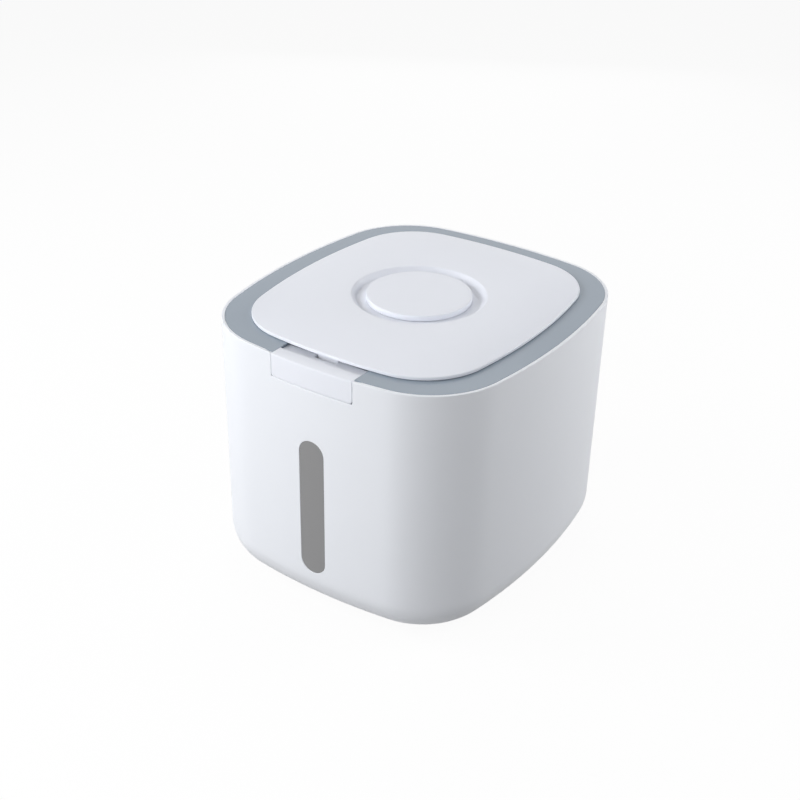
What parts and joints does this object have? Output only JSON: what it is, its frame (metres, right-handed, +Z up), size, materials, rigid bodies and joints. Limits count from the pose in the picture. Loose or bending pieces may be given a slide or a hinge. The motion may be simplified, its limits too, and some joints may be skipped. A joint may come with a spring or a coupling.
{
  "type": "rice storage bin",
  "caption": "Rounded-square rice bin with an upright level window, a collar in its mouth and a crowned flip panel with a lift-out desiccant disc, opened by a press button.",
  "frame": {"origin": "on the surface the bin stands on, under the centre of the bin", "axes": "+Z up, -Y towards the press button and level window, +X to the right when facing them from behind"},
  "size_m": [0.26, 0.286, 0.2266],
  "materials": {
    "white_pp": "satin injection-moulded polypropylene",
    "white_abs": "satin moulded ABS",
    "white_pom": "plain moulded acetal",
    "grey_pp": "fine matt moulded polypropylene",
    "milky_pp": "plain moulded polypropylene",
    "smoke_window": "translucent smoke styrene, polished",
    "clear_silicone": "soft moulded silicone",
    "soft_grey_feet": "soft thermoplastic rubber",
    "screw_steel": "stainless steel",
    "pin_steel": "drawn stainless steel",
    "spring_steel": "spring steel wire"
  },
  "bodies": {
    "bin": {"bucket_shell": "white_pp", "base_feet": "soft_grey_feet", "window_strip": "smoke_window", "window_gasket": "clear_silicone", "lid_frame": "grey_pp", "latch_housing": "grey_pp", "housing_screws": "screw_steel", "hinge_pin": "pin_steel", "hinge_spring": "spring_steel", "button_springs": "spring_steel"},
    "lid": {"lid_panel": "white_abs", "lid_liner": "milky_pp", "lid_gasket": "clear_silicone", "desiccant_cup": "milky_pp", "vent_screen": "milky_pp"},
    "disc": {"desiccant_cap": "white_abs", "cap_seal": "clear_silicone"},
    "button": {"press_button": "white_abs", "catch_slider": "white_pom", "button_screws": "screw_steel"}
  },
  "joints": [
    {"name": "lid_hinge", "type": "hinge", "parent": "bin", "child": "lid", "pos_m": [0, 0.12005, 0.2204], "axis": [-1, 0, 0], "range_deg": [0, 100]},
    {"name": "disc_lift", "type": "slide", "parent": "lid", "child": "disc", "axis": [0, 0, 1], "range_m": [0, 0.03]},
    {"name": "button_press", "type": "slide", "parent": "bin", "child": "button", "axis": [0, 1, 0], "range_m": [0, 0.003], "stiffness_N_per_m": 600, "springref_m": -0.004, "deforming": ["button_springs"]}
  ]
}
